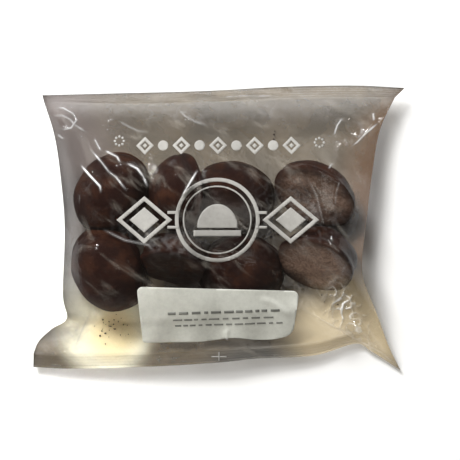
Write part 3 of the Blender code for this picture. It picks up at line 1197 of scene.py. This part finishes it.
class StudioSettings(PropertyGroup):
    """The floor, the camera and the lights."""

    floor_colour: colour_setting("Floor", "Backdrop paper", "#f4f4f3")
    camera_height: length_setting("Camera", "Above the bag's outline", 850)
    key_radiance: number_setting("Key", "Brightness of the key light", 10.5)
    low_key_radiance: number_setting("Low key", "Of the lower key light", 42.0)
    glint_radiance: number_setting("Glint", "Of the two small lights", 110.0)
    haze_radiance: number_setting("Haze", "Of the broad panel", 1.8)
    fill_radiance: number_setting("Fill", "Of the light from below left", 8.0)
    corner_radiance: number_setting("Corner", "Of the narrow light", 0.62)
    sky: number_setting("Sky", "Brightness all round", 0.07)


SETTINGS = {
    "bag_mallows": MallowSettings,
    "bag_film": FilmSettings,
    "bag_ink": InkSettings,
    "bag_crumbs": CrumbSettings,
    "bag_studio": StudioSettings,
}


# Operators


class MARSHMALLOWBAG_OT_mallows(Operator):
    """Adds the eight coated marshmallows"""

    bl_idname = "marshmallow_bag.mallows"
    bl_label = "Marshmallows"

    def execute(self, context):
        settings = context.scene.bag_mallows
        material = chocolate_material(settings)
        meshes = {}
        for seed, (name, row) in enumerate(MALLOWS.items()):
            mesh = mallow_mesh(settings, row, seed)
            lowest = min(vert.co.z for vert in mesh.verts)
            place = Vector((row[0] * MM, row[1] * MM, RESTING_HEIGHT - lowest))
            mesh.transform(Matrix.Translation(place))
            meshes[name] = mesh
        for first, second in CONTACTS:
            press_together(meshes[f"mallow_{first}"], meshes[f"mallow_{second}"])
        for name, mesh in meshes.items():
            new_piece(name, mesh, material)
        return {"FINISHED"}


class MARSHMALLOWBAG_OT_film(Operator):
    """Adds the film in place of the frame's solid bag"""

    bl_idname = "marshmallow_bag.film"
    bl_label = "Film"

    def execute(self, context):
        settings = context.scene.bag_film
        tree = surface_of(bpy.data.objects[name] for name in MALLOWS)
        film = new_piece("film", film_mesh(settings, tree), film_material(settings))
        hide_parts("bag")
        return {"FINISHED"}


class MARSHMALLOWBAG_OT_print(Operator):
    """Adds the white print: ornaments, medallions, label and seal mark"""

    bl_idname = "marshmallow_bag.print"
    bl_label = "Print"

    def execute(self, context):
        settings = context.scene.bag_ink
        tree = surface_of([bpy.data.objects["film"]])
        white = ink_material("flexographic_ink_white", settings.ink_colour, INK_OPACITY)
        field = ink_material("flexographic_ink_label", settings.label_colour, LABEL_OPACITY)
        grey = ink_material("inkjet_grey", settings.dash_colour, DASH_OPACITY)
        shapes = (
            ("print_ornaments", ornament_row(), white, 1),
            ("print_medallions", medallions(), white, 1),
            ("print_label", rounded_field(LABEL_CORNERS), field, 1),
            ("print_dashes", label_dashes(), grey, 2),
            ("print_cross", seal_cross(), white, 1),
        )
        for name, mesh, material, layer in shapes:
            laid_on(mesh, tree, INK_STEP, layer * settings.lift, settings.thickness)
            new_piece(name, mesh, material)
        return {"FINISHED"}


class MARSHMALLOWBAG_OT_crumbs(Operator):
    """Adds the crumbs that lie between the marshmallows"""

    bl_idname = "marshmallow_bag.crumbs"
    bl_label = "Crumbs"

    def execute(self, context):
        tree = surface_of([bpy.data.objects["film"]])
        mesh = crumb_mesh(tree, context.scene.bag_crumbs.size)
        material = bpy.data.objects["mallow_1"].data.materials[0]
        new_piece("crumbs", mesh, material)
        return {"FINISHED"}


class MARSHMALLOWBAG_OT_studio(Operator):
    """Adds the pale floor, the lights and the camera straight above"""

    bl_idname = "marshmallow_bag.studio"
    bl_label = "Studio"

    def execute(self, context):
        settings = context.scene.bag_studio
        mesh = bmesh.new()
        bmesh.ops.create_grid(mesh, x_segments=1, y_segments=1, size=FLOOR_REACH)
        bmesh.ops.translate(mesh, verts=mesh.verts, vec=(0, 0, -FLOOR_DEPTH))
        data = bpy.data.meshes.new("floor")
        mesh.to_mesh(data)
        mesh.free()
        data.materials.append(floor_material(settings))
        floor = bpy.data.objects.new("floor", data)
        context.scene.collection.objects.link(floor)
        for name, (place, size, radiance, *rest) in LIGHTS.items():
            add_panel_light(name, place, size, getattr(settings, radiance), *rest)
        world = bpy.data.worlds.new("studio")
        world.use_nodes = True
        sky = world.node_tree.nodes["Background"].inputs
        sky["Color"].default_value = (*WHITE, 1)
        sky["Strength"].default_value = settings.sky
        context.scene.world = world
        context.scene.view_settings.view_transform = "Standard"
        camera = bpy.data.cameras.new("camera")
        camera.type = "PERSP"
        camera.sensor_width = SENSOR_WIDTH
        camera.lens = SENSOR_WIDTH * settings.camera_height / (PICTURE_SIZE * PIXEL)
        camera.clip_start = 0.01
        above = bpy.data.objects.new("camera", camera)
        above.location = (*PICTURE_CENTRE, settings.camera_height + OUTLINE_HEIGHT)
        context.scene.collection.objects.link(above)
        context.scene.camera = above
        return {"FINISHED"}


class MARSHMALLOWBAG_PT_panel(Panel):
    """Lists the bag's pieces with their settings"""

    bl_label = "Marshmallow Bag"
    bl_idname = "MARSHMALLOWBAG_PT_panel"
    bl_space_type = "VIEW_3D"
    bl_region_type = "UI"
    bl_category = "Marshmallow Bag"

    def draw(self, context):
        for (name, group), operator in zip(SETTINGS.items(), OPERATORS):
            box = self.layout.box()
            box.operator(operator.bl_idname)
            for setting in group.__annotations__:
                box.prop(getattr(context.scene, name), setting)


OPERATORS = (
    MARSHMALLOWBAG_OT_mallows,
    MARSHMALLOWBAG_OT_film,
    MARSHMALLOWBAG_OT_print,
    MARSHMALLOWBAG_OT_crumbs,
    MARSHMALLOWBAG_OT_studio,
)
CLASSES = (*SETTINGS.values(), *OPERATORS, MARSHMALLOWBAG_PT_panel)


def register():
    for item in CLASSES:
        bpy.utils.register_class(item)
    for name, group in SETTINGS.items():
        setattr(bpy.types.Scene, name, PointerProperty(type=group))


def unregister():
    for name in SETTINGS:
        delattr(bpy.types.Scene, name)
    for item in reversed(CLASSES):
        bpy.utils.unregister_class(item)


def main():
    register()
    bpy.ops.marshmallow_bag.mallows()
    bpy.ops.marshmallow_bag.film()
    bpy.ops.marshmallow_bag.print()
    bpy.ops.marshmallow_bag.crumbs()
    bpy.ops.marshmallow_bag.studio()
    bpy.context.view_layer.update()


if __name__ == "__main__":
    main()
